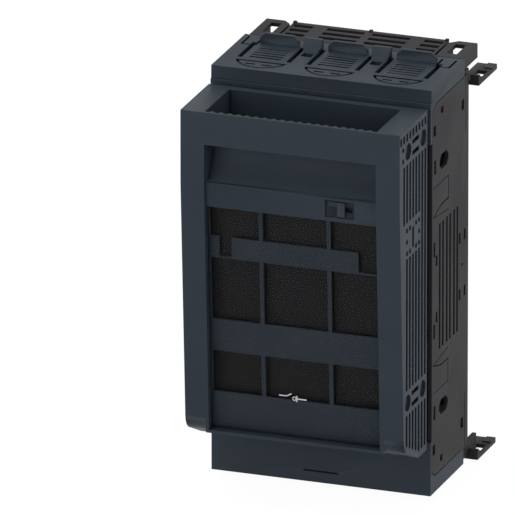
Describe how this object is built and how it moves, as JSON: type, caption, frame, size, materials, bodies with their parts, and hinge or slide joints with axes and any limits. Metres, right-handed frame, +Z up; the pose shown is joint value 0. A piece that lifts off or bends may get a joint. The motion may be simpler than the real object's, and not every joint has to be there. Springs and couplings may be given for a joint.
{
  "type": "fuse switch disconnector",
  "caption": "Wall-mounted fuse switch disconnector: a moulded base with contact jaws and clip-on terminal covers, and a windowed handle lid that swings out at its foot.",
  "frame": {"origin": "on the wall plane at the back of the ribbed base, midway between the sides and at mid-height of the terminal covers", "axes": "+X to the right seen from the front, +Y back into the wall, +Z up"},
  "size_m": [0.1114, 0.1246, 0.2054],
  "materials": {
    "base_plastic": "dark brownish grey moulded thermoset, fine spark texture",
    "cover_plastic": "bluish dark grey moulded plastic, fine spark texture",
    "lid_plastic": "bluish dark grey moulded plastic, fine spark texture",
    "foot_plastic": "black moulded plastic",
    "holder_plastic": "near-black glass-filled plastic",
    "slide_plastic": "dark blue-grey moulded plastic",
    "smoked_window": "dark smoked polycarbonate",
    "plated_copper": "silver-plated copper",
    "spring_steel": "tempered spring steel",
    "sheet_steel": "plain sheet steel",
    "zinc_steel": "zinc-plated steel"
  },
  "bodies": {
    "base": {"base_housing": "base_plastic", "top_terminal_cover": "cover_plastic", "bottom_terminal_cover": "cover_plastic", "jaw_contact_upper_left": "plated_copper", "jaw_spring_upper_left": "spring_steel", "jaw_contact_lower_left": "plated_copper", "jaw_spring_lower_left": "spring_steel", "arc_plates_left": "sheet_steel", "jaw_contact_upper_middle": "plated_copper", "jaw_spring_upper_middle": "spring_steel", "jaw_contact_lower_middle": "plated_copper", "jaw_spring_lower_middle": "spring_steel", "arc_plates_middle": "sheet_steel", "jaw_contact_upper_right": "plated_copper", "jaw_spring_upper_right": "spring_steel", "jaw_contact_lower_right": "plated_copper", "jaw_spring_lower_right": "spring_steel", "arc_plates_right": "sheet_steel", "terminal_washers_upper": "zinc_steel", "terminal_screws_upper": "zinc_steel", "mounting_foot_upper_left": "foot_plastic", "mounting_foot_upper_right": "foot_plastic", "terminal_washers_lower": "zinc_steel", "terminal_screws_lower": "zinc_steel", "mounting_foot_lower_left": "foot_plastic", "mounting_foot_lower_right": "foot_plastic"},
    "lid": {"lid_frame": "lid_plastic", "hinge_pins": "zinc_steel", "fuse_holder_left": "holder_plastic", "fuse_holder_middle": "holder_plastic", "fuse_holder_right": "holder_plastic"},
    "lock": {"lock_slide": "slide_plastic"},
    "window": {"inspection_window": "smoked_window"}
  },
  "joints": [
    {"name": "lid_hinge", "type": "hinge", "parent": "base", "child": "lid", "pos_m": [0, -0.0975, -0.0658], "axis": [1, 0, 0], "range_deg": [0, 90]},
    {"name": "lock_travel", "type": "slide", "parent": "lid", "child": "lock", "axis": [1, 0, 0], "range_m": [0, 0.004]},
    {"name": "window_travel", "type": "slide", "parent": "lid", "child": "window", "axis": [1, 0, 0], "range_m": [0, 0.004]}
  ]
}
